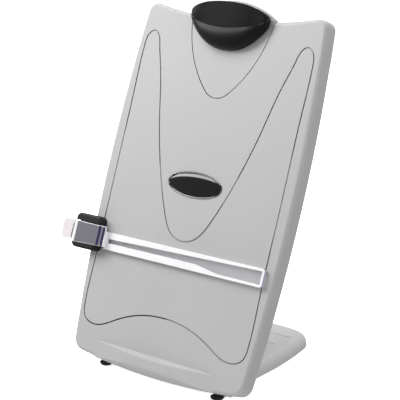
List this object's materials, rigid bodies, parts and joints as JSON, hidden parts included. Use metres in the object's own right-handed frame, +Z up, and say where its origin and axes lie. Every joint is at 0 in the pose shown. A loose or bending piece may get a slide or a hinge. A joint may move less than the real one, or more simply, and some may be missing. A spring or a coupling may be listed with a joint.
{
  "type": "copy holder with line guide",
  "caption": "Reclined document board on a folding base with a prop, a spring clip at the top and a clear line guide that slides up and down on the board's left edge.",
  "frame": {"origin": "on the desk, on the underside of the base's cover, in the middle of the object's width and 90 mm behind the tilt hinge's axis", "axes": "+X to the right of someone reading the page, +Y away from the reader, +Z up"},
  "size_m": [0.2465, 0.1843, 0.326],
  "materials": {
    "board_plastic": "finely grained light grey moulding",
    "base_plastic": "finely grained light grey moulding",
    "clip_plastic": "satin charcoal moulding",
    "slider_plastic": "grained charcoal moulding",
    "clear_acrylic": "polished clear moulding",
    "badge_enamel": "glossy black domed oval",
    "black_rubber": "matt black",
    "felt": "black felt",
    "pin_steel": "drawn steel rod",
    "screw_steel": "zinc-plated screws",
    "spring_steel": "oiled spring wire"
  },
  "bodies": {
    "base": {"base_plate": "base_plastic", "base_cover": "base_plastic", "base_screws": "screw_steel", "front_feet": "black_rubber", "rear_pads": "black_rubber", "hinge_pins": "pin_steel"},
    "board": {"front_panel": "board_plastic", "rear_cover": "board_plastic", "cover_screws": "screw_steel", "badge": "badge_enamel", "right_hinge_block": "board_plastic", "left_hinge_block": "board_plastic", "prop_pin": "pin_steel", "clip_plate": "board_plastic", "clip_pin": "pin_steel", "clip_spring": "spring_steel"},
    "clip": {"clip_jaw": "clip_plastic", "clip_grip": "black_rubber"},
    "prop": {"prop_leg": "base_plastic", "prop_foot": "black_rubber"},
    "slider": {"slider_front": "slider_plastic", "slider_back": "slider_plastic", "slider_screws": "screw_steel", "friction_pad": "felt", "guide_pin": "pin_steel", "guide_spring": "spring_steel"},
    "guide": {"line_guide": "clear_acrylic"}
  },
  "joints": [
    {"name": "board_tilt", "type": "hinge", "parent": "base", "child": "board", "pos_m": [0, -0.09, 0.0142], "axis": [-1, 0, 0], "range_deg": [-4, 70]},
    {"name": "prop_swing", "type": "hinge", "parent": "board", "child": "prop", "pos_m": [0, -0.04194, 0.15208], "axis": [1, 0, 0], "range_deg": [-8, 140]},
    {"name": "guide_slide", "type": "slide", "parent": "board", "child": "slider", "axis": [0, 0.342, 0.9397], "range_m": [-0.062, 0.175]},
    {"name": "guide_lift", "type": "hinge", "parent": "slider", "child": "guide", "pos_m": [-0.113, -0.07032, 0.11388], "axis": [0, -0.342, -0.9397], "range_deg": [0, 12], "stiffness_Nm_per_rad": 0.05, "springref_deg": -17.19},
    {"name": "clip_open", "type": "hinge", "parent": "board", "child": "clip", "pos_m": [0, 0.0036, 0.3079], "axis": [-1, 0, 0], "range_deg": [0, 14], "stiffness_Nm_per_rad": 0.4, "springref_deg": -14.32}
  ],
  "couplings": [
    {"joint": "prop_swing", "follows": "board_tilt", "ratio": 2}
  ]
}
